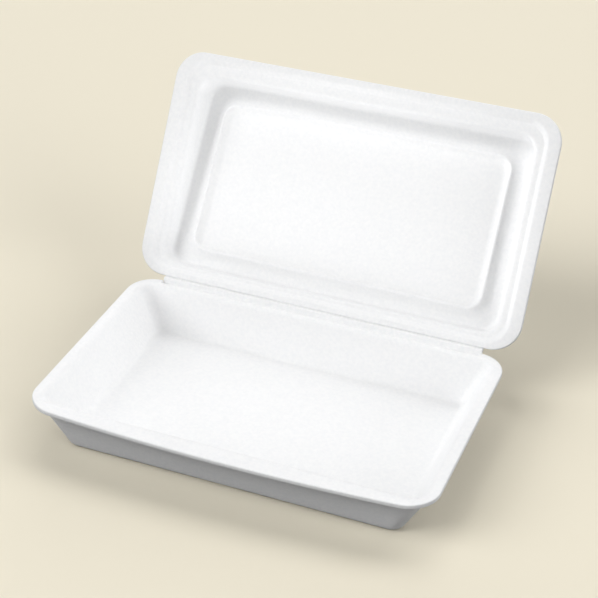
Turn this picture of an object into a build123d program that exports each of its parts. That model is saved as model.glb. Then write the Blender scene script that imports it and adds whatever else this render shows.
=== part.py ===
from build123d import *
from math import acos, atan2, cos, degrees, hypot, radians, sin, tan
import os

# Foam clamshell food container, standing open, in millimetres.
# A deep tray and a shallow lid are pressed from one foam sheet. A strip between two pressed creases
# joins them, and folds up behind the rims when the lid is shut.
# X runs along the crease, +Y points from the front of the tray to the crease, +Z is up.
# The origin is the middle of the face that the tray stands on.

# The rim, a flat flange round the mouth of each half
RIM_SKIN = 2.6
RIM_EDGE_BLEND = 0.7
RIM_UNDER_BLEND = 1.6

# The tray
TRAY_LENGTH = 200.0
TRAY_WIDTH = 123.0
TRAY_DEPTH = 23.8
TRAY_SKIN = 2.6
TRAY_FRONT_BOW = 4.4
TRAY_RIM_WIDTH = 5.5
TRAY_RIM_CORNER = 14.0
TRAY_MOUTH_CORNER = 8.0
TRAY_FLOOR_CORNER = 5.5
TRAY_END_LEAN = 13.8
TRAY_SIDE_LEAN = 6.5
TRAY_MOUTH_BLEND = 2.4
TRAY_FLOOR_BLEND = 3.6
TRAY_FOOT_BLEND = 4.0

# The lid, whose wall goes down in three stages: a step, a flat shoulder and a steep wall.
# The wall is deeper at the front than beside the crease, so the panel slopes.
LID_LENGTH = 205.0
LID_WIDTH = 117.5
LID_SKIN = 2.0
LID_RIM_CORNER = 14.5
LID_END_RIM = 6.2
LID_FRONT_RIM = 3.5
LID_HINGE_RIM = 3.0
LID_MOUTH_CORNER = 11.5
LID_STEP_DEPTH = 2.6
LID_STEP_LEAN = 2.2
LID_STEP_CORNER = 10.5
LID_SHOULDER_DEPTH = 3.3
LID_END_SHOULDER = 4.1
LID_FRONT_SHOULDER = 5.7
LID_HINGE_SHOULDER = 2.2
LID_SHOULDER_CORNER = 9.0
LID_PANEL_FRONT_DEPTH = 21.0
LID_PANEL_HINGE_DEPTH = 10.6
LID_WALL_LEAN = 1.4
LID_PANEL_CORNER = 8.0
LID_MOUTH_BLEND = 1.6
LID_STEP_BLEND = 1.6
LID_SHOULDER_BLEND = 2.8
LID_PANEL_BLEND = 1.6

# The bead that stiffens the lid's panel: a ridge inside and a groove outside.
# It sweeps up from the wall in a wide bend, and drops to the panel in a tight one.
BEAD_HEIGHT = 2.0
BEAD_OUTER_BEND = 12.0
BEAD_CREST_BEND = 1.2
BEAD_INNER_BEND = 3.5
BEAD_END_INSET = 24.8
BEAD_FRONT_INSET = 22.8
BEAD_HINGE_INSET = 17.4
BEAD_CORNER = 6.4

# The hinge
STRIP_LENGTH = 172.0
CREASE_WEB = 0.5
CREASE_CLEARANCE = 0.1
CREASE_HALF_ANGLE = 47.0
CLOSED_GAP = 0.3
OPEN_ANGLE = 59.0

# Cuts run this far past the faces that they open
OVERRUN = 2.0

# Places that follow from the sizes
RIM_TOP = TRAY_SKIN + TRAY_DEPTH
WEB_RADIUS = CREASE_WEB / 2
CREASE_DROP = RIM_SKIN - WEB_RADIUS
STRIP_WIDTH = 2 * CREASE_DROP + CLOSED_GAP
TRAY_CREASE_Y = TRAY_WIDTH / 2
TRAY_CREASE_Z = RIM_TOP - CREASE_DROP
STRIP_ANGLE = OPEN_ANGLE / 2
LID_CREASE_Y = TRAY_CREASE_Y + STRIP_WIDTH * cos(radians(STRIP_ANGLE))
LID_CREASE_Z = TRAY_CREASE_Z + STRIP_WIDTH * sin(radians(STRIP_ANGLE))


def edges_on(solid, plane):
    """The edges of a solid that lie wholly in a plane."""
    level = OVERRUN * 1e-4
    shares = (0, 0.5, 1)
    return solid.edges().filter_by(
        lambda edge: all(abs(plane.to_local_coords(edge @ share).Z) < level for share in shares)
    )


def edges_at(solid, height):
    """The edges of a solid that lie wholly at one height."""
    return edges_on(solid, Plane.XY.offset(height))


def mouth_edges(solid, height, outward):
    """The edges round the opening in a solid's flat face at a height, facing up (1) or down (-1)."""
    level = OVERRUN * 1e-4
    faces = solid.faces().filter_by(
        lambda f: abs(f.center().Z - height) < level and f.normal_at().Z * outward > 1 - level
    )
    rim = faces.sort_by(SortBy.AREA)[-1]
    return ShapeList(e for wire in rim.inner_wires() for e in wire.edges())


def crease_flank(side):
    """Section, in Y and Z about a crease, of what is cut from a rim so that it folds past the strip.

    The rim lies on the side given: -1 below the crease's +Y, 1 above it.
    """
    lean = tan(radians(CREASE_HALF_ANGLE))
    reach = (WEB_RADIUS + CREASE_CLEARANCE) / cos(radians(CREASE_HALF_ANGLE))
    low = -WEB_RADIUS - OVERRUN
    high = CREASE_DROP + OVERRUN
    far = STRIP_WIDTH + high * lean
    points = [
        (side * (reach + low * lean), low),
        (side * (reach + high * lean), high),
        (-side * far, high),
        (-side * far, low),
    ]
    return Plane.YZ * make_face(Polyline(*points, close=True))


def along_crease(section, length):
    """A section in Y and Z, drawn out along X about the middle."""
    return extrude(section, amount=length / 2, dir=(1, 0, 0), both=True)


def tray_rim():
    """The tray's rim before its mouth is cut: a rounded plate whose front edge bows out."""
    half_length, half_width = TRAY_LENGTH / 2, TRAY_WIDTH / 2
    back_left, back_right = (-half_length, half_width), (half_length, half_width)
    front_left, front_right = (-half_length, -half_width), (half_length, -half_width)
    outline = make_face(
        [
            ThreePointArc(front_left, (0, -half_width - TRAY_FRONT_BOW), front_right),
            Line(front_right, back_right),
            Line(back_right, back_left),
            Line(back_left, front_left),
        ]
    )
    outline = fillet(outline.vertices(), TRAY_RIM_CORNER)
    plate = Pos(0, 0, RIM_TOP - RIM_SKIN) * extrude(outline, RIM_SKIN)
    return fillet(edges_at(plate, RIM_TOP) + edges_at(plate, RIM_TOP - RIM_SKIN), RIM_EDGE_BLEND)


def tray_section(depth, skin, corner):
    """The outline of the tray's wall at a depth below the rim, its inner face moved out by a skin."""
    end_lean, side_lean = TRAY_END_LEAN / TRAY_DEPTH, TRAY_SIDE_LEAN / TRAY_DEPTH
    length = TRAY_LENGTH - 2 * (TRAY_RIM_WIDTH + end_lean * depth - skin * hypot(1, end_lean))
    width = TRAY_WIDTH - 2 * (TRAY_RIM_WIDTH + side_lean * depth - skin * hypot(1, side_lean))
    return Pos(0, 0, RIM_TOP - depth) * RectangleRounded(length, width, corner + skin)


def base_tray():
    """The deep half: floor, leaning walls and rim, bevelled along its crease."""
    body = loft(
        [
            tray_section(TRAY_DEPTH + TRAY_SKIN, TRAY_SKIN, TRAY_FLOOR_CORNER),
            tray_section(0, TRAY_SKIN, TRAY_MOUTH_CORNER),
        ],
        ruled=True,
    )
    body = fillet(edges_at(body, 0), TRAY_FOOT_BLEND)
    cavity = loft(
        [
            tray_section(TRAY_DEPTH, 0, TRAY_FLOOR_CORNER),
            tray_section(0, 0, TRAY_MOUTH_CORNER),
        ],
        ruled=True,
    )
    cavity = fillet(edges_at(cavity, TRAY_SKIN), TRAY_FLOOR_BLEND)
    tray = body + tray_rim()
    tray = fillet(mouth_edges(tray, RIM_TOP - RIM_SKIN, -1), RIM_UNDER_BLEND)
    tray = tray - cavity
    tray = fillet(mouth_edges(tray, RIM_TOP, 1), TRAY_MOUTH_BLEND)
    bevel = along_crease(crease_flank(-1), STRIP_LENGTH + 2 * CREASE_CLEARANCE)
    return tray - Pos(0, TRAY_CREASE_Y, TRAY_CREASE_Z) * bevel


def hinge_strip():
    """The strip between the creases: a bar with a round web along each edge and bevels to fold into."""
    lean = tan(radians(CREASE_HALF_ANGLE))
    reach = WEB_RADIUS / cos(radians(CREASE_HALF_ANGLE))
    round_y = WEB_RADIUS * cos(radians(CREASE_HALF_ANGLE))
    round_z = WEB_RADIUS * sin(radians(CREASE_HALF_ANGLE))
    top_y = CREASE_DROP * lean - reach
    bar = make_face(
        Polyline(
            (0, -WEB_RADIUS),
            (STRIP_WIDTH, -WEB_RADIUS),
            (STRIP_WIDTH + round_y, round_z),
            (STRIP_WIDTH - top_y, CREASE_DROP),
            (top_y, CREASE_DROP),
            (-round_y, round_z),
            close=True,
        )
    )
    webs = [Pos(y, 0) * Circle(WEB_RADIUS) for y in (0, STRIP_WIDTH)]
    section = Plane.YZ * (bar + webs)
    strip = along_crease(section, STRIP_LENGTH)
    return Pos(0, TRAY_CREASE_Y, TRAY_CREASE_Z) * Rot(X=STRIP_ANGLE) * strip


def lid_stages():
    """The lid's wall from rim to panel: depth, end, front and crease inset, and corner of each stage."""
    insets = [LID_END_RIM, LID_FRONT_RIM, LID_HINGE_RIM]
    shoulders = [LID_END_SHOULDER, LID_FRONT_SHOULDER, LID_HINGE_SHOULDER]
    stages = [(0, *insets, LID_MOUTH_CORNER)]
    for depth, leans, corner in (
        (LID_STEP_DEPTH, 3 * [LID_STEP_LEAN], LID_STEP_CORNER),
        (LID_SHOULDER_DEPTH, shoulders, LID_SHOULDER_CORNER),
        (LID_PANEL_FRONT_DEPTH, 3 * [LID_WALL_LEAN], LID_PANEL_CORNER),
    ):
        insets = [inset + lean for inset, lean in zip(insets, leans)]
        stages.append((depth, *insets, corner))
    return stages


def skin_shift(stages, index):
    """How far the outer face stands from the inner one at a stage, mitred there: depth and inset."""
    def normal(first, second):
        rise, run = second[0] - first[0], second[1] - first[1]
        return run / hypot(rise, run), -rise / hypot(rise, run)

    here = stages[index]
    after = normal(here, stages[index + 1]) if index + 1 < len(stages) else (1.0, 0.0)
    if index == 0:
        return 0.0, LID_SKIN / after[1]
    before = normal(stages[index - 1], here)
    spread = LID_SKIN / (1 + before[0] * after[0] + before[1] * after[1])
    return spread * (before[0] + after[0]), spread * (before[1] + after[1])


def lid_panel():
    """The middle of the panel's inner face, in the lid's own frame: crease along X, rim at zero."""
    depth, end, front, hinge, corner = lid_stages()[-1]
    slope = degrees(atan2(LID_PANEL_HINGE_DEPTH - LID_PANEL_FRONT_DEPTH, LID_WIDTH - front - hinge))
    middle = (LID_PANEL_HINGE_DEPTH + LID_PANEL_FRONT_DEPTH) / 2
    return Pos(0, (hinge + LID_WIDTH - front) / 2, -middle) * Rot(X=slope)


def lid_form(stages, blends, panel):
    """A solid with the lid's staged wall, cut off along the sloping panel and blended at each stage."""
    share = 1 + OVERRUN / (stages[-1][0] - stages[-2][0])
    last = [size + share * (end - size) for size, end in zip(stages[-2], stages[-1])]
    outlines = [
        Pos(0, (hinge + LID_WIDTH - front) / 2, -depth)
        * RectangleRounded(LID_LENGTH - 2 * end, LID_WIDTH - front - hinge, corner)
        for depth, end, front, hinge, corner in [*stages[:-1], last]
    ]
    form = split(loft(outlines[::-1], ruled=True), bisect_by=panel, keep=Keep.TOP)
    form = fillet(edges_on(form, panel), blends[-1])
    for stage, blend in zip(stages[-2:0:-1], blends[-2::-1]):
        form = fillet(edges_at(form, -stage[0]), blend)
    return form


def lid_bead():
    """The bead's ridge, standing on the panel: three bends, swept round a rounded rectangle."""
    outer = BEAD_OUTER_BEND + BEAD_CREST_BEND
    inner = BEAD_INNER_BEND + BEAD_CREST_BEND
    rise, fall = acos(1 - BEAD_HEIGHT / outer), acos(1 - BEAD_HEIGHT / inner)
    outer_foot, inner_foot = -outer * sin(rise), inner * sin(fall)
    crest, root = BEAD_HEIGHT - BEAD_CREST_BEND, -LID_SKIN / 2

    def outer_bend(turn):
        return outer_foot + BEAD_OUTER_BEND * sin(turn), BEAD_OUTER_BEND * (1 - cos(turn))

    def crest_bend(turn):
        return BEAD_CREST_BEND * sin(turn), crest + BEAD_CREST_BEND * cos(turn)

    def inner_bend(turn):
        return inner_foot - BEAD_INNER_BEND * sin(turn), BEAD_INNER_BEND * (1 - cos(turn))

    ridge = make_face(
        [
            ThreePointArc(outer_bend(0), outer_bend(rise / 2), outer_bend(rise)),
            ThreePointArc(outer_bend(rise), crest_bend((fall - rise) / 2), inner_bend(fall)),
            ThreePointArc(inner_bend(fall), inner_bend(fall / 2), inner_bend(0)),
            Polyline(inner_bend(0), (inner_foot, root), (outer_foot, root), outer_bend(0)),
        ]
    )
    length = LID_LENGTH - 2 * BEAD_END_INSET
    width = LID_WIDTH - BEAD_FRONT_INSET - BEAD_HINGE_INSET
    path = RectangleRounded(length, width, BEAD_CORNER).wire()
    section = Plane(origin=(0, -width / 2, 0), x_dir=(0, 1, 0), z_dir=(1, 0, 0)) * ridge
    depth, end, front, hinge, corner = lid_stages()[-1]
    shift = (BEAD_HINGE_INSET - BEAD_FRONT_INSET - hinge + front) / 2
    return Pos(0, shift, 0) * sweep(section, path=path)


def lid_cover():
    """The shallow half: rim, staged wall and beaded panel, swung up to its open angle."""
    stages = lid_stages()
    shifts = [skin_shift(stages, index) for index in range(len(stages))]
    signs = ((1, 0, 0, 0, 0), (0, 1, 1, 1, -1))
    outer = [
        [size + drop * down + step * out for size, down, out in zip(stage, *signs)]
        for stage, (drop, step) in zip(stages, shifts)
    ]
    blends = (LID_STEP_BLEND, LID_SHOULDER_BLEND, LID_PANEL_BLEND)
    swells = (LID_SKIN / 2, -LID_SKIN / 2, LID_SKIN / 2)
    panel, skin = lid_panel(), Pos(0, 0, -LID_SKIN)
    cavity = lid_form(stages, blends, Plane(panel))
    body = lid_form(outer, [blend + swell for blend, swell in zip(blends, swells)], Plane(panel * skin))
    rim = extrude(
        Pos(0, LID_WIDTH / 2, -RIM_SKIN) * RectangleRounded(LID_LENGTH, LID_WIDTH, LID_RIM_CORNER), RIM_SKIN
    )
    rim = fillet(edges_at(rim, 0) + edges_at(rim, -RIM_SKIN), RIM_EDGE_BLEND)
    bead = lid_bead()
    lid = body + rim
    lid = lid - cavity + panel * bead - panel * skin * bead
    lid = fillet(mouth_edges(lid, 0, 1), LID_MOUTH_BLEND)
    bevel = along_crease(crease_flank(1), STRIP_LENGTH + 2 * CREASE_CLEARANCE)
    lid = lid - Pos(0, 0, -CREASE_DROP) * bevel
    return Pos(0, LID_CREASE_Y, LID_CREASE_Z) * Rot(X=OPEN_ANGLE) * Pos(0, 0, CREASE_DROP) * lid


os.makedirs("parts", exist_ok=True)
for name, piece in (("base_tray", base_tray()), ("hinge_strip", hinge_strip()), ("lid_cover", lid_cover())):
    export_step(piece, f"parts/{name}.step")
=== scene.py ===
"""A white foam food container that stands open: a tray, a creased hinge band and a beaded lid."""
import logging
import math
from dataclasses import dataclass, replace
from enum import Enum
from typing import ClassVar

import bmesh
import bpy
from mathutils import Matrix, Vector


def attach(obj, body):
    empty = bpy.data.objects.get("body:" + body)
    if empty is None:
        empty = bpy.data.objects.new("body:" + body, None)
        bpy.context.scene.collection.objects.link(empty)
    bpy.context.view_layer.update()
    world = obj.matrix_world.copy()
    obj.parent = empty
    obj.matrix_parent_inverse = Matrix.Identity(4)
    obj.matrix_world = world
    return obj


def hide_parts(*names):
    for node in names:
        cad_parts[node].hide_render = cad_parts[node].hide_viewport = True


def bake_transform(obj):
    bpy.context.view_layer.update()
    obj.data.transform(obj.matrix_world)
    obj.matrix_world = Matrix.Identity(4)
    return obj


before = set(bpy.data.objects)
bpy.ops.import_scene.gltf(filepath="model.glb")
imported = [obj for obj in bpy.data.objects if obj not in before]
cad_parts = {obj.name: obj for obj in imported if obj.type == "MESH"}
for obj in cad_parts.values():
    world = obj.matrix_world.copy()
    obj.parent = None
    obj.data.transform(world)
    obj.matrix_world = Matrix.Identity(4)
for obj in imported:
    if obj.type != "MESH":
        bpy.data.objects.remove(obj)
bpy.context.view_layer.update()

MM = 0.001
GRID = 4.0
LOG = logging.getLogger("foam_container")


def heading(turn: float, height: float) -> Vector:
    """Work out the way from the object to a lamp or the camera.

    Args:
        turn: The turn from the front, in radians.
        height: The height over the floor, in radians.

    Returns:
        The way, one long.
    """
    level = math.cos(height)
    return Vector((math.sin(turn) * level, -math.cos(turn) * level, math.sin(height)))


class Finish(Enum):
    """The three finishes of the foam, in the order of a piece's material slots."""

    SKIN = 0
    TRIMMED = 1
    CREASED = 2


class Rim(Enum):
    """The two rims that the hinge band joins."""

    TRAY = "tray"
    LID = "lid"


@dataclass(frozen=True)
class FoamFinish:
    """One finish of the white foam: its two tones, its gloss and how coarse its cells stand out."""

    specular: ClassVar[float] = 0.3
    mottle_mm: ClassVar[float] = 1.6
    mottle_ends: ClassVar[tuple[float, float]] = (0.32, 0.68)
    gloss_mm: ClassVar[float] = 2.5
    gloss_swing: ClassVar[float] = 0.07
    cell_smoothness: ClassVar[float] = 0.8
    noise_detail: ClassVar[float] = 2.0

    name: str
    light: tuple[float, float, float]
    shade: tuple[float, float, float]
    roughness: float
    cell_mm: float
    cell_depth_mm: float
    swell_mm: float
    swell_depth_mm: float

    def material(self) -> bpy.types.Material:
        """Build the finish as a node material on Object coordinates.

        Returns:
            The new material.
        """
        material = bpy.data.materials.new(self.name)
        material.use_nodes = True
        tree = material.node_tree
        shader = tree.nodes["Principled BSDF"]
        shader.inputs["Specular IOR Level"].default_value = self.specular
        place = tree.nodes.new("ShaderNodeTexCoord").outputs["Object"]

        mottle = self.noise(tree, place, self.mottle_mm)
        tone = tree.nodes.new("ShaderNodeValToRGB")
        tones = zip(tone.color_ramp.elements, self.mottle_ends, (self.shade, self.light))
        for element, end, colour in tones:
            element.position = end
            element.color = (*colour, 1.0)
        tree.links.new(mottle, tone.inputs["Fac"])
        tree.links.new(tone.outputs["Color"], shader.inputs["Base Color"])

        gloss = tree.nodes.new("ShaderNodeMapRange")
        gloss.inputs["To Min"].default_value = self.roughness - self.gloss_swing
        gloss.inputs["To Max"].default_value = self.roughness + self.gloss_swing
        tree.links.new(self.noise(tree, place, self.gloss_mm), gloss.inputs["Value"])
        tree.links.new(gloss.outputs["Result"], shader.inputs["Roughness"])

        cells = tree.nodes.new("ShaderNodeTexVoronoi")
        cells.feature = "SMOOTH_F1"
        cells.inputs["Scale"].default_value = 1.0 / (self.cell_mm * MM)
        cells.inputs["Smoothness"].default_value = self.cell_smoothness
        tree.links.new(place, cells.inputs["Vector"])
        swell = self.noise(tree, place, self.swell_mm)
        relief = self.bump(tree, swell, self.swell_depth_mm, None)
        relief = self.bump(tree, cells.outputs["Distance"], self.cell_depth_mm, relief)
        tree.links.new(relief, shader.inputs["Normal"])
        return material

    def noise(
        self, tree: bpy.types.NodeTree, place: bpy.types.NodeSocket, size_mm: float
    ) -> bpy.types.NodeSocket:
        """Add a noise of one grain size.

        Args:
            tree: The material's nodes.
            place: The coordinates to read.
            size_mm: The size of a grain.

        Returns:
            The noise's value.
        """
        noise = tree.nodes.new("ShaderNodeTexNoise")
        noise.inputs["Scale"].default_value = 1.0 / (size_mm * MM)
        noise.inputs["Detail"].default_value = self.noise_detail
        tree.links.new(place, noise.inputs["Vector"])
        return noise.outputs["Fac"]

    @staticmethod
    def bump(
        tree: bpy.types.NodeTree,
        height: bpy.types.NodeSocket,
        depth_mm: float,
        under: bpy.types.NodeSocket | None,
    ) -> bpy.types.NodeSocket:
        """Add one layer of relief.

        Args:
            tree: The material's nodes.
            height: The relief's height.
            depth_mm: How deep the relief is.
            under: The relief that it lies on, if any.

        Returns:
            The normal of the relief.
        """
        bump = tree.nodes.new("ShaderNodeBump")
        bump.inputs["Distance"].default_value = depth_mm * MM
        tree.links.new(height, bump.inputs["Height"])
        if under is not None:
            tree.links.new(under, bump.inputs["Normal"])
        return bump.outputs["Normal"]


@dataclass(frozen=True)
class Ring:
    """One outline of a pressed form, a rounded rectangle, in millimetres.

    near and far are its two long sides' places along Y, level its height in the middle,
    fall how much it drops for each millimetre of Y, and blend the bend's radius along it.
    """

    half: float
    near: float
    far: float
    corner: float
    level: float
    blend: float = 0.0
    fall: float = 0.0
    finish: Finish = Finish.SKIN

    @property
    def middle(self) -> float:
        """The outline's middle along Y."""
        return (self.near + self.far) / 2

    def height(self, y: float) -> float:
        """The outline's height at a place along Y."""
        return self.level - self.fall * (y - self.middle)


class PressedForm:
    """A closed foam form, in millimetres.

    It is modelled from a chain of outlines, from its outer floor over its rim to its inner floor.
    """

    stack_step = 10.0
    blend_share = 0.96
    flank_reach = 0.02
    flank_tilt = 0.1
    grid_offset = 0.013
    smooth_angle = 35.0

    def __init__(self, name: str, corner_steps: int = 14, blend_steps: int = 6) -> None:
        """Start an empty piece.

        Args:
            name: The piece's name.
            corner_steps: How many faces go round an outline's corner.
            blend_steps: How many faces go across a blend.
        """
        bpy.ops.object.select_all(action="DESELECT")
        bpy.ops.mesh.primitive_plane_add(size=MM)
        self.piece = bpy.context.object
        self.piece.name = self.piece.data.name = name
        self.corner_steps = corner_steps
        self.blend_steps = blend_steps
        bpy.ops.object.mode_set(mode="EDIT")
        bpy.ops.mesh.select_all(action="SELECT")
        bpy.ops.mesh.delete(type="VERT")
        self.mesh.verts.layers.int.new("ring")

    @property
    def mesh(self) -> bmesh.types.BMesh:
        """The piece's mesh in edit mode."""
        return bmesh.from_edit_mesh(self.piece.data)

    def press(self, rings: list[Ring]) -> None:
        """Model the closed form from its outlines.

        Args:
            rings: The outlines, from the outer floor over the rim to the inner floor.
        """
        for index, ring in enumerate(rings, 1):
            self.draw(index, ring)
        for index, ring in enumerate(rings[1:], 2):
            self.bridge(index, ring.finish)
        self.settle(rings)
        for index in (1, len(rings)):
            self.select_rings(index)
            bpy.ops.mesh.edge_face_add()
        self.face_outwards()
        self.soften([self.setback(rings, place) for place in range(len(rings))])

    def draw(self, index: int, ring: Ring) -> None:
        """Add an outline: a plane at its size, its corners rounded and its face taken out.

        The outlines are stacked in their order at first, so that each is bridged to its neighbour.

        Args:
            index: The outline's number in the chain.
            ring: The outline.
        """
        bpy.ops.mesh.select_all(action="DESELECT")
        centre = Vector((0.0, ring.middle, self.stack_step * index)) * MM
        bpy.ops.mesh.primitive_plane_add(size=MM, location=centre)
        size = (2 * ring.half, ring.far - ring.near, 1.0)
        bpy.ops.transform.resize(value=size, center_override=centre)
        bpy.ops.mesh.bevel(offset=ring.corner * MM, segments=self.corner_steps, affect="VERTICES")
        mesh = self.mesh
        tag = mesh.verts.layers.int["ring"]
        for vert in mesh.verts:
            if vert.select:
                vert[tag] = index
        bpy.ops.mesh.delete(type="ONLY_FACE")

    def select_rings(self, *indices: int) -> None:
        """Select the edges of some outlines and nothing else.

        Args:
            indices: The outlines' numbers in the chain.
        """
        bpy.ops.mesh.select_all(action="DESELECT")
        mesh = self.mesh
        tag = mesh.verts.layers.int["ring"]
        for edge in mesh.edges:
            first, second = (vert[tag] for vert in edge.verts)
            if first == second and first in indices:
                edge.select_set(True)
        mesh.select_flush_mode()
        bmesh.update_edit_mesh(self.piece.data)

    def bridge(self, index: int, finish: Finish) -> None:
        """Bridge an outline to the one before it.

        Args:
            index: The outline's number in the chain.
            finish: The finish of the new faces.
        """
        before = len(self.mesh.faces)
        self.select_rings(index - 1, index)
        bpy.ops.mesh.bridge_edge_loops()
        mesh = self.mesh
        mesh.faces.ensure_lookup_table()
        for face in mesh.faces[before:]:
            face.material_index = finish.value

    def settle(self, rings: list[Ring]) -> None:
        """Bring the stacked outlines to their own heights.

        Args:
            rings: The outlines.
        """
        mesh = self.mesh
        tag = mesh.verts.layers.int["ring"]
        for vert in mesh.verts:
            vert.co.z = rings[vert[tag] - 1].height(vert.co.y / MM) * MM
        bmesh.update_edit_mesh(self.piece.data)

    def face_outwards(self) -> None:
        """Turn all faces outwards."""
        bpy.ops.mesh.select_all(action="SELECT")
        bpy.ops.mesh.normals_make_consistent(inside=False)

    def setback(self, rings: list[Ring], place: int) -> float:
        """Find how far a blend reaches from its outline along each neighbour face.

        Args:
            rings: The chain of outlines.
            place: The outline's place in the list.

        Returns:
            The reach in millimetres.
        """
        here = rings[place]
        ways = []
        for other in (place - 1, place + 1):
            if 0 <= other < len(rings):
                there = rings[other]
                ways.append(Vector((there.half - here.half, there.level - here.level)))
            else:
                ways.append(Vector((-1.0, 0.0)))
        turn = math.pi - ways[0].angle(ways[1])
        return self.blend_share * here.blend * math.tan(turn / 2)

    def soften(self, reaches: list[float]) -> None:
        """Round the form along its outlines.

        Args:
            reaches: How far each outline's rounding reaches along its neighbour faces.
        """
        mesh = self.mesh
        tag = mesh.verts.layers.int["ring"]
        weight = mesh.edges.layers.float.new("bevel_weight_edge")
        for edge in mesh.edges:
            first, second = (vert[tag] for vert in edge.verts)
            if first == second:
                edge[weight] = reaches[first - 1] / max(reaches)
        bpy.ops.object.mode_set(mode="OBJECT")
        blend = self.piece.modifiers.new("blend", "BEVEL")
        blend.limit_method = "WEIGHT"
        blend.width = max(reaches) * MM
        blend.segments = self.blend_steps
        blend.use_clamp_overlap = False
        bpy.ops.object.modifier_apply(modifier=blend.name)
        bpy.ops.object.mode_set(mode="EDIT")

    def cut(self, section: list[tuple[float, float]], half: float) -> None:
        """Cut a long prism off the form, as along a crease.

        Args:
            section: The prism's corners in Y and Z, going round.
            half: Half its length along X.
        """
        bpy.ops.object.mode_set(mode="OBJECT")
        bpy.ops.object.select_all(action="DESELECT")
        bpy.ops.mesh.primitive_cube_add(size=1.0)
        cutter = bpy.context.object
        bpy.ops.object.mode_set(mode="EDIT")
        mesh = bmesh.from_edit_mesh(cutter.data)
        order = {(-1, -1): 0, (-1, 1): 1, (1, 1): 2, (1, -1): 3}
        for vert in mesh.verts:
            y, z = section[order[(round(2 * vert.co.y), round(2 * vert.co.z))]]
            vert.co = Vector((2 * half * vert.co.x, y, z)) * MM
        bpy.ops.mesh.select_all(action="SELECT")
        bpy.ops.mesh.normals_make_consistent(inside=False)
        bpy.ops.object.mode_set(mode="OBJECT")
        bpy.ops.object.select_all(action="DESELECT")
        self.piece.select_set(True)
        bpy.context.view_layer.objects.active = self.piece
        crease = self.piece.modifiers.new("crease", "BOOLEAN")
        crease.operation = "DIFFERENCE"
        crease.solver = "EXACT"
        crease.object = cutter
        bpy.ops.object.modifier_apply(modifier=crease.name)
        bpy.data.objects.remove(cutter)
        bpy.ops.object.mode_set(mode="EDIT")

    def paint_flank(self, start: tuple[float, float], end: tuple[float, float]) -> None:
        """Give the crease's finish to the faces that lie on its flank.

        Args:
            start: The flank's lower edge in Y and Z.
            end: Its upper edge.
        """
        along = Vector((end[0] - start[0], end[1] - start[1])).normalized()
        mesh = self.mesh
        for face in mesh.faces:
            spot = face.calc_center_median() / MM
            away = abs((spot.y - start[0]) * along.y - (spot.z - start[1]) * along.x)
            if away < self.flank_reach and abs(face.normal.x) < self.flank_tilt:
                face.material_index = Finish.CREASED.value
        bmesh.update_edit_mesh(self.piece.data)

    def divide(self, spacing: float, axes: tuple[int, ...] = (0, 1)) -> None:
        """Cut the long faces up into an even grid, a little off the corners that are there.

        Args:
            spacing: The width of a grid cell in millimetres.
            axes: The axes to cut across.
        """
        for axis in axes:
            places = [vert.co[axis] / MM for vert in self.mesh.verts]
            low, high = min(places), max(places)
            count = int((high - low) / spacing)
            for step in range(1, count):
                spot, facing = Vector(), Vector()
                spot[axis] = (low + (high - low) * step / count + self.grid_offset) * MM
                facing[axis] = 1.0
                bpy.ops.mesh.select_all(action="SELECT")
                bpy.ops.mesh.bisect(plane_co=spot, plane_no=facing)

    def finish(self, finishes: dict[Finish, bpy.types.Material]) -> bpy.types.Object:
        """Leave edit mode, smooth the faces and put the finishes on.

        Args:
            finishes: The material of each finish.

        Returns:
            The finished piece.
        """
        bpy.ops.object.mode_set(mode="OBJECT")
        bpy.ops.object.shade_smooth_by_angle(angle=math.radians(self.smooth_angle))
        for finish in Finish:
            self.piece.data.materials.append(finishes[finish])
        return self.piece


@dataclass(frozen=True)
class Crease:
    """The pressed fold lines and the band between them, in millimetres."""

    tray_y: float = 61.5
    tray_z: float = 24.05
    drop: float = 2.35
    web: float = 0.25
    clearance: float = 0.1
    half_angle: float = 47.0
    band_width: float = 5.0
    band_half: float = 86.0
    band_angle: float = 29.5
    open_angle: float = 59.0
    overrun: float = 2.0

    def flank(self, side: int) -> list[tuple[float, float]]:
        """Work out the section of what is taken off a rim so that it folds past the band.

        Args:
            side: -1 for the tray's rim, 1 for the lid's.

        Returns:
            Four corners in Y and Z about the crease, the flank's own two first.
        """
        lean = math.tan(math.radians(self.half_angle))
        reach = (self.web + self.clearance) / math.cos(math.radians(self.half_angle))
        low, high = -self.web - self.overrun, self.drop + self.overrun
        far = self.band_width + high * lean
        return [
            (side * (reach + low * lean), low),
            (side * (reach + high * lean), high),
            (-side * far, high),
            (-side * far, low),
        ]

    def band_place(self) -> Matrix:
        """The band's own frame at rest, in metres: the tray's crease along X, its foot under it."""
        turn = Matrix.Rotation(math.radians(self.band_angle), 4, "X")
        return Matrix.Translation((0, self.tray_y * MM, self.tray_z * MM)) @ turn

    def lid_place(self) -> Matrix:
        """Work out the lid's own frame at rest.

        Returns:
            The frame in metres: its crease along X, its rim's face at zero.
        """
        lift = math.radians(self.band_angle)
        y = self.tray_y + self.band_width * math.cos(lift)
        z = self.tray_z + self.band_width * math.sin(lift)
        turn = Matrix.Rotation(math.radians(self.open_angle), 4, "X")
        rise = Matrix.Translation((0, 0, self.drop * MM))
        return Matrix.Translation((0, y * MM, z * MM)) @ turn @ rise


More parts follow.
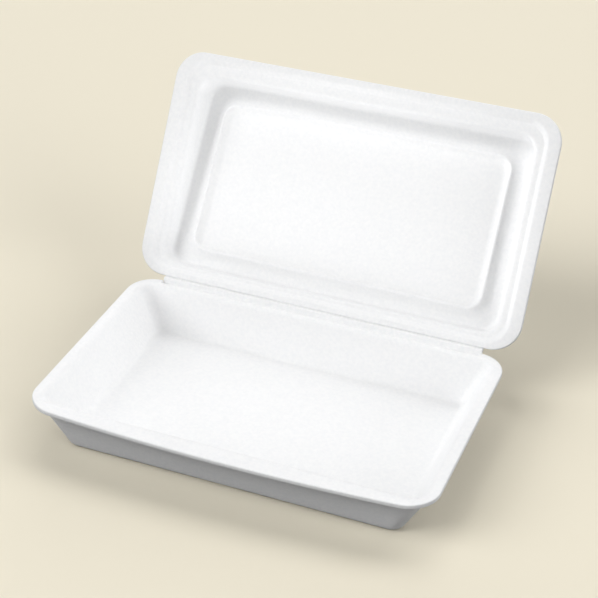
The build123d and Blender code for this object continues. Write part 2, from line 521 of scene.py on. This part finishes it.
@dataclass(frozen=True)
class Tray:
    """The deep half of the container, in millimetres."""

    crease: Crease = Crease()
    half: float = 100.0
    side: float = 61.5
    top: float = 26.4
    skin: float = 2.6
    rim: float = 5.5
    rim_corner: float = 14.0
    mouth_corner: float = 6.5
    floor_corner: float = 3.8
    end_lean: float = 11.6
    outer_end_lean: float = 12.8
    side_lean: float = 6.5
    foot_blend: float = 4.0
    under_blend: float = 1.6
    edge_blend: float = 0.7
    mouth_blend: float = 2.4
    floor_blend: float = 3.6
    bow: float = 4.4
    bow_margin: float = 0.5

    def wall(self, depth: float, skin: float, blend: float) -> Ring:
        """Work out the wall's outline at a depth.

        Args:
            depth: The depth below the rim's top.
            skin: How far the outline stands outside the wall's inner face.
            blend: The bend's radius along the outline.

        Returns:
            The outline.
        """
        full = self.top - self.skin
        end_slope = (self.outer_end_lean if skin else self.end_lean) / full
        side_slope = self.side_lean / full
        half = self.half - self.rim - end_slope * depth + skin * math.hypot(1, end_slope)
        side = self.side - self.rim - side_slope * depth + skin * math.hypot(1, side_slope)
        corner = self.mouth_corner + (self.floor_corner - self.mouth_corner) * depth / full + skin
        return Ring(half, -side, side, corner, self.top - depth, blend)

    def rings(self) -> list[Ring]:
        """Work out the tray's outlines.

        Returns:
            The outlines, from the floor's underside over the rim to its inner face.
        """
        edge = (self.half, -self.side, self.side, self.rim_corner)
        return [
            self.wall(self.top, self.skin, self.foot_blend),
            self.wall(self.skin, self.skin, self.under_blend),
            Ring(*edge, self.top - self.skin, self.edge_blend),
            Ring(*edge, self.top, self.edge_blend, finish=Finish.TRIMMED),
            self.wall(0.0, 0.0, self.mouth_blend),
            self.wall(self.top - self.skin, 0.0, self.floor_blend),
        ]

    def bow_front(self, form: PressedForm) -> None:
        """Draw the rim's front edge out into a shallow bow.

        Args:
            form: The tray's form in edit mode.
        """
        mesh = form.mesh
        mouth = self.side - self.rim
        under = self.top - self.skin - self.bow_margin
        for vert in mesh.verts:
            x, y, z = vert.co / MM
            if z > under and y < -mouth:
                share = min(1.0, (-y - mouth) / self.rim)
                vert.co.y -= share * self.bow * max(0.0, 1.0 - (x / self.half) ** 2) * MM
        bmesh.update_edit_mesh(form.piece.data)

    def build(self, finishes: dict[Finish, bpy.types.Material]) -> bpy.types.Object:
        """Model and dress the tray.

        Args:
            finishes: The material of each finish.

        Returns:
            The tray, riding on its body.
        """
        form = PressedForm("foam_tray")
        form.press(self.rings())
        crease = self.crease
        flank = [(y + crease.tray_y, z + crease.tray_z) for y, z in crease.flank(-1)]
        form.cut(flank, crease.band_half + crease.clearance)
        form.paint_flank(flank[0], flank[1])
        form.divide(GRID)
        self.bow_front(form)
        piece = form.finish(finishes)
        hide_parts("base_tray")
        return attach(piece, "tray")


@dataclass(frozen=True)
class Bead:
    """The bead round the lid's panel, in millimetres: a bend up from the wall, a crest and a drop.

    half, near, far and corner are its crest line's.
    """

    height: float = 2.9
    outer_bend: float = 7.0
    crest_bend: float = 1.2
    inner_bend: float = 4.8
    half: float = 78.1
    near: float = 17.0
    far: float = 94.7
    corner: float = 7.4

    def corners(self) -> list[tuple[float, float, float]]:
        """Work out where the bead's straight flanks meet the panel and each other.

        Returns:
            For the outer foot, the crest and the inner foot: the place inwards from the crest line,
            the height and the bend.
        """
        outer, inner = self.outer_bend + self.crest_bend, self.inner_bend + self.crest_bend
        rise, fall = math.acos(1 - self.height / outer), math.acos(1 - self.height / inner)
        foot = self.outer_bend * math.tan(rise / 2) - outer * math.sin(rise)
        toe = inner * math.sin(fall) - self.inner_bend * math.tan(fall / 2)
        up, down = math.tan(rise), math.tan(fall)
        crest = (down * toe + up * foot) / (up + down)
        return [
            (foot, 0.0, self.outer_bend),
            (crest, up * (crest - foot), self.crest_bend),
            (toe, 0.0, self.inner_bend),
        ]


@dataclass(frozen=True)
class Stage:
    """One stage of the lid's wall, in millimetres.

    depth is its depth below the rim's face, end, front and hinge its insets from the rim's edge,
    corner its corners' radius and blend the bend's radius along it.
    """

    depth: float
    end: float
    front: float
    hinge: float
    corner: float
    blend: float


@dataclass(frozen=True)
class Lid:
    """The shallow half of the container, in millimetres.

    In its own frame its crease is along X and its rim's face at zero.
    """

    crease: Crease = Crease()
    bead: Bead = Bead()
    half: float = 102.5
    width: float = 117.5
    skin: float = 2.0
    rim_skin: float = 2.6
    rim_corner: float = 14.5
    panel_front: float = 21.0
    panel_hinge: float = 10.6
    inner: tuple[Stage, ...] = (
        Stage(0.0, 6.2, 3.5, 3.0, 11.5, 1.6),
        Stage(2.6, 8.4, 5.7, 5.2, 10.5, 1.6),
        Stage(3.3, 12.5, 11.4, 7.4, 9.0, 2.8),
    )
    outer: tuple[Stage, ...] = (
        Stage(2.6, 5.78, 3.08, 2.58, 12.2, 0.0),
        Stage(4.45, 7.35, 4.65, 4.15, 11.55, 2.6),
        Stage(5.01, 10.63, 9.53, 5.53, 10.87, 1.8),
    )
    panel_end: float = 13.5
    panel_near: float = 7.98
    panel_far: float = 104.7
    panel_corner: float = 8.0
    panel_blend: float = 2.4
    edge_blend: float = 0.7

    @property
    def fall(self) -> float:
        """How much deeper the panel gets for each millimetre towards the front."""
        return (self.panel_front - self.panel_hinge) / (self.panel_far - self.panel_near)

    def level(self, stage: Stage) -> Ring:
        """The outline of a level stage of the wall."""
        half, far = self.half - stage.end, self.width - stage.front
        return Ring(half, stage.hinge, far, stage.corner, -stage.depth, stage.blend)

    def sloped(self, ring: Ring, height: float) -> Ring:
        """Lay an outline on the sloping panel.

        Args:
            ring: The outline, whose level isn't used.
            height: How high it stands over the panel's inner face.

        Returns:
            The outline, level with the panel.
        """
        stand = height * math.hypot(1.0, self.fall)
        level = stand - self.panel_hinge - self.fall * (ring.middle - self.panel_near)
        return replace(ring, level=level, fall=self.fall)

    def beaded(self, height: float) -> list[Ring]:
        """Work out the panel's outline and the bead's three.

        Args:
            height: How high the panel's face stands over its inner face.

        Returns:
            The outlines from the wall inwards.
        """
        out = -height
        panel = Ring(
            self.half - self.panel_end + out,
            self.panel_near - out,
            self.panel_far + out,
            self.panel_corner + out,
            0.0,
            self.panel_blend + out / 2,
        )
        rings = [self.sloped(panel, height)]
        bead = self.bead
        for place, rise, bend in bead.corners():
            sides = (bead.half - place, bead.near + place, bead.far - place)
            ring = Ring(*sides, bead.corner - place, 0.0, bend)
            rings.append(self.sloped(ring, height + rise))
        return rings

    def rings(self) -> list[Ring]:
        """Work out the lid's outlines.

        Returns:
            The outlines, from the panel's outer face over the rim to its inner face.
        """
        edge = (self.half, 0.0, self.width, self.rim_corner)
        return [
            *reversed(self.beaded(-self.skin)),
            *(self.level(stage) for stage in reversed(self.outer)),
            Ring(*edge, -self.rim_skin, self.edge_blend),
            Ring(*edge, 0.0, self.edge_blend, finish=Finish.TRIMMED),
            *(self.level(stage) for stage in self.inner),
            *self.beaded(0.0),
        ]

    def build(self, finishes: dict[Finish, bpy.types.Material]) -> bpy.types.Object:
        """Model and dress the lid, and swing it up to its open angle.

        Args:
            finishes: The material of each finish.

        Returns:
            The lid, riding on its body.
        """
        form = PressedForm("foam_lid")
        form.press(self.rings())
        flank = [(y, z - self.crease.drop) for y, z in self.crease.flank(1)]
        form.cut(flank, self.crease.band_half + self.crease.clearance)
        form.paint_flank(flank[0], flank[1])
        form.divide(GRID)
        piece = form.finish(finishes)
        piece.data.transform(self.crease.lid_place())
        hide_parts("lid_cover")
        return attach(piece, "lid")


@dataclass(frozen=True)
class HingeBand:
    """The narrow ridge between the two creases, in millimetres, in its own frame."""

    crease: Crease = Crease()
    ridge: float = 0.7
    shoulder: float = 0.183
    soft: float = 0.2
    soft_steps: int = 3

    def build(self, finishes: dict[Finish, bpy.types.Material]) -> bpy.types.Object:
        """Model the band: its foot is drawn up into a ridge, and its long edges are softened.

        Args:
            finishes: The material of each finish.

        Returns:
            The band, riding on its body.
        """
        crease = self.crease
        widest = crease.band_width + 2 * crease.web * math.cos(math.radians(crease.half_angle))
        form = PressedForm("hinge_band")
        centre = Vector((0.0, crease.band_width / 2, -crease.web)) * MM
        bpy.ops.mesh.primitive_plane_add(size=MM, location=centre)
        size = (2 * crease.band_half, crease.band_width, 1.0)
        bpy.ops.transform.resize(value=size, center_override=centre)
        foot = crease.band_width
        lifts = ((self.shoulder + crease.web, widest), (crease.drop - self.shoulder, self.ridge))
        for height, width in lifts:
            lift = (0.0, 0.0, height * MM)
            bpy.ops.mesh.extrude_region_move(TRANSFORM_OT_translate={"value": lift})
            bpy.ops.transform.resize(value=(1.0, width / foot, 1.0), center_override=centre)
            foot = width
        form.face_outwards()
        bpy.ops.mesh.select_all(action="DESELECT")
        mesh = form.mesh
        for edge in mesh.edges:
            first, second = (vert.co / MM for vert in edge.verts)
            if abs(first.x - second.x) > crease.band_half:
                edge.select_set(True)
        bpy.ops.mesh.bevel(offset=self.soft * MM, segments=self.soft_steps, affect="EDGES")
        form.divide(GRID)
        piece = form.finish(finishes)
        piece.data.transform(crease.band_place())
        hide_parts("hinge_strip")
        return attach(piece, "strip")


@dataclass(frozen=True)
class CreaseWeb:
    """The pressed foam in the bottom of a crease, in millimetres."""

    rim: Rim
    crease: Crease = Crease()
    foot: float = 0.1
    height: float = 1.75
    sag: float = 0.3
    sunk: float = 0.04
    strip: float = 0.3

    def place(self) -> Matrix:
        """Work out the web's own frame at rest.

        Returns:
            The frame in metres: the fold's middle upright, the band on its +Y side.
        """
        place = self.crease.band_place()
        if self.rim is Rim.LID:
            across = Matrix.Translation((0.0, self.crease.band_width * MM, 0.0))
            place = place @ across @ Matrix.Rotation(math.pi, 4, "Z")
        return place @ Matrix.Rotation(math.radians(-self.crease.band_angle / 2), 4, "X")

    def sides(self, height: float) -> tuple[float, float]:
        """Work out where the fold's two flanks are.

        Args:
            height: The height over the crease.

        Returns:
            The rim's flank and the band's along Y, each a little inside its foam.
        """
        crease = self.crease
        lean = math.radians(crease.half_angle - crease.band_angle / 2)
        gaps = (crease.web + crease.clearance, crease.web)
        rim, band = (gap / math.cos(lean) + self.sunk for gap in gaps)
        return -rim - height * math.tan(lean), band + height * math.tan(lean)

    def build(self, finishes: dict[Finish, bpy.types.Material]) -> bpy.types.Object:
        """Model the web: its foot is drawn up between the flanks, and its top sags.

        Args:
            finishes: The material of each finish.

        Returns:
            The web, set in its place at rest.
        """
        low, high = self.sides(self.foot)
        form = PressedForm(f"crease_web_{self.rim.value}")
        centre = Vector((0.0, (low + high) / 2, self.foot)) * MM
        bpy.ops.mesh.primitive_plane_add(size=MM, location=centre)
        length = 2 * self.crease.band_half
        bpy.ops.transform.resize(value=(length, high - low, 1.0), center_override=centre)
        left, right = self.sides(self.height)
        lift = Vector((0.0, 0.0, self.height - self.foot)) * MM
        bpy.ops.mesh.extrude_region_move(TRANSFORM_OT_translate={"value": lift})
        spread = (1.0, (right - left) / (high - low), 1.0)
        bpy.ops.transform.resize(value=spread, center_override=centre)
        form.face_outwards()
        form.divide(self.strip, axes=(1,))
        mesh = form.mesh
        for vert in mesh.verts:
            if vert.co.z > centre.z:
                share = (vert.co.y / MM - left) / (right - left)
                vert.co.z -= self.sag * 4 * share * (1 - share) * MM
        bmesh.update_edit_mesh(form.piece.data)
        form.divide(GRID, axes=(0,))
        piece = form.finish(finishes)
        place = self.place()
        piece.data.transform(place)
        if self.rim is Rim.LID:
            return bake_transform(piece)
        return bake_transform(piece)


@dataclass(frozen=True)
class Lamp:
    """A broad, soft lamp far away: its turn from the front, height and width in degrees."""

    name: str
    turn: float
    height: float
    strength: float
    width: float = 35.0

    def build(self) -> None:
        """Hang the lamp."""
        lamp = bpy.data.lights.new(self.name, "SUN")
        lamp.energy = math.pi * self.strength
        lamp.angle = math.radians(self.width)
        holder = bpy.data.objects.new(self.name, lamp)
        way = heading(math.radians(self.turn), math.radians(self.height))
        holder.rotation_euler = way.to_track_quat("Z", "Y").to_euler()
        bpy.context.scene.collection.objects.link(holder)


@dataclass(frozen=True)
class Fill:
    """A small unseen lamp in the tray's mouth that shines up into the lid, in mm and watts.

    It is weak within its near distance, so that it doesn't glow through the rims of a shut lid.
    """

    name: str
    across: float
    power: float
    height: float = 34.0
    size: tuple[float, float] = (70.0, 80.0)
    near: float = 80.0

    def build(self) -> None:
        """Lay the lamp face up."""
        lamp = bpy.data.lights.new(self.name, "AREA")
        lamp.shape = "RECTANGLE"
        lamp.size, lamp.size_y = (side * MM for side in self.size)
        lamp.energy = self.power
        lamp.use_nodes = True
        tree = lamp.node_tree
        fade = tree.nodes.new("ShaderNodeLightFalloff")
        fade.inputs["Strength"].default_value = 1.0
        fade.inputs["Smooth"].default_value = (self.near * MM) ** 2
        tree.links.new(fade.outputs["Quadratic"], tree.nodes["Emission"].inputs["Strength"])
        holder = bpy.data.objects.new(self.name, lamp)
        holder.location = Vector((self.across, 0.0, self.height)) * MM
        holder.rotation_euler = (math.pi, 0.0, 0.0)
        holder.visible_camera = False
        bpy.context.scene.collection.objects.link(holder)


@dataclass(frozen=True)
class Studio:
    """The plain pale floor, the soft lamps and the camera."""

    azimuth: float = 21.2
    elevation: float = 32.761
    roll: float = 0.988
    distance: float = 0.82488
    shift: tuple[float, float] = (-0.00929, 0.00818)
    aim: tuple[float, float, float] = (0.0, 0.0615, 0.0264)
    lens: float = 98.38
    sensor: float = 36.0
    floor_size: float = 6.0
    floor_roughness: float = 0.9
    floor_colour: tuple[float, float, float] = (0.84, 0.784, 0.645)
    floor_bounce: tuple[float, float, float] = (0.03, 0.03, 0.03)
    lamps: tuple[Lamp, ...] = (
        Lamp("left_front_high", 318.0, 50.0, 0.286),
        Lamp("left_front", 306.0, 28.0, 0.378),
        Lamp("left_front_low", 330.0, 8.0, 0.097),
        Lamp("right", 77.0, 28.0, 0.27),
        Lamp("right_front_low", 60.0, 8.0, 0.162),
        Lamp("right_back_low", 112.0, 8.0, 0.097),
        Lamp("back_right", 139.0, 50.0, 0.248),
        Lamp("back_high", 195.0, 62.0, 0.216),
        Lamp("back_low", 198.0, 20.0, 0.173),
    )
    fills: tuple[Fill, ...] = (
        Fill("lid_fill_left", -50.0, 0.142),
        Fill("lid_fill_right", 50.0, 0.086),
    )

    def build(self) -> None:
        """Set up the camera, the lamps and the floor."""
        bpy.context.scene.view_settings.view_transform = "Standard"
        self.camera()
        for lamp in (*self.lamps, *self.fills):
            lamp.build()
        self.backdrop()
        self.floor()

    def camera(self) -> None:
        """Place the camera at the photograph's viewing angle."""
        angles = (self.azimuth, self.elevation, self.roll)
        turn, height, roll = (math.radians(angle) for angle in angles)
        back = heading(turn, height)
        right = Vector((math.cos(turn), math.sin(turn), 0.0))
        up = back.cross(right)
        across = math.cos(roll) * right + math.sin(roll) * up
        upright = math.cos(roll) * up - math.sin(roll) * right
        camera = bpy.data.objects.new("camera", bpy.data.cameras.new("camera"))
        camera.data.lens = self.lens
        camera.data.sensor_width = self.sensor
        place = Matrix((across, upright, back)).transposed().to_4x4()
        aside = self.shift[0] * across + self.shift[1] * upright
        place.translation = Vector(self.aim) + aside + self.distance * back
        camera.matrix_world = place
        bpy.context.scene.collection.objects.link(camera)
        bpy.context.scene.camera = camera

    def backdrop(self) -> None:
        """Hang a pale backdrop that only the camera sees, so that it adds no light."""
        world = bpy.data.worlds.new("studio_backdrop")
        world.use_nodes = True
        tree = world.node_tree
        backdrop = tree.nodes["Background"]
        backdrop.inputs["Color"].default_value = (*self.floor_colour, 1.0)
        path = tree.nodes.new("ShaderNodeLightPath")
        tree.links.new(path.outputs["Is Camera Ray"], backdrop.inputs["Strength"])
        bpy.context.scene.world = world

    def floor(self) -> None:
        """Lay the floor: pale to the camera, and darker to the light that it throws back."""
        bpy.ops.object.select_all(action="DESELECT")
        bpy.ops.mesh.primitive_plane_add(size=self.floor_size)
        floor = bpy.context.object
        floor.name = floor.data.name = "studio_floor"
        material = bpy.data.materials.new("studio_paper")
        material.use_nodes = True
        tree = material.node_tree
        shader = tree.nodes["Principled BSDF"]
        shader.inputs["Roughness"].default_value = self.floor_roughness
        shader.inputs["Specular IOR Level"].default_value = 0.0
        path = tree.nodes.new("ShaderNodeLightPath")
        seen = tree.nodes.new("ShaderNodeMath")
        seen.operation = "MAXIMUM"
        tree.links.new(path.outputs["Is Camera Ray"], seen.inputs[0])
        tree.links.new(path.outputs["Is Glossy Ray"], seen.inputs[1])
        tone = tree.nodes.new("ShaderNodeMix")
        tone.data_type = "RGBA"
        tone.inputs["A"].default_value = (*self.floor_bounce, 1.0)
        tone.inputs["B"].default_value = (*self.floor_colour, 1.0)
        tree.links.new(seen.outputs[0], tone.inputs["Factor"])
        tree.links.new(tone.outputs["Result"], shader.inputs["Base Color"])
        floor.data.materials.append(material)


LOOKS = {
    Finish.SKIN: FoamFinish(
        name="foam_skin",
        light=(0.935, 0.935, 0.935),
        shade=(0.895, 0.9, 0.908),
        roughness=0.55,
        cell_mm=1.1,
        cell_depth_mm=0.05,
        swell_mm=24.0,
        swell_depth_mm=0.05,
    ),
    Finish.TRIMMED: FoamFinish(
        name="foam_trimmed_edge",
        light=(0.93, 0.93, 0.93),
        shade=(0.88, 0.885, 0.893),
        roughness=0.75,
        cell_mm=0.5,
        cell_depth_mm=0.06,
        swell_mm=3.0,
        swell_depth_mm=0.05,
    ),
    Finish.CREASED: FoamFinish(
        name="foam_pressed_crease",
        light=(0.93, 0.93, 0.93),
        shade=(0.9, 0.905, 0.912),
        roughness=0.45,
        cell_mm=0.6,
        cell_depth_mm=0.015,
        swell_mm=5.0,
        swell_depth_mm=0.04,
    ),
}


def main() -> None:
    """Build the container in its studio, and report each piece."""
    logging.basicConfig(level=logging.INFO, format="%(message)s")
    Studio().build()
    finishes = {finish: look.material() for finish, look in LOOKS.items()}
    tray_web = CreaseWeb(Rim.TRAY, height=0.8, sag=0.15)
    for part in (Tray(), tray_web, HingeBand(), CreaseWeb(Rim.LID), Lid()):
        piece = part.build(finishes)
        LOG.info("%s: %d faces", piece.name, len(piece.data.polygons))


if __name__ == "__main__":
    main()
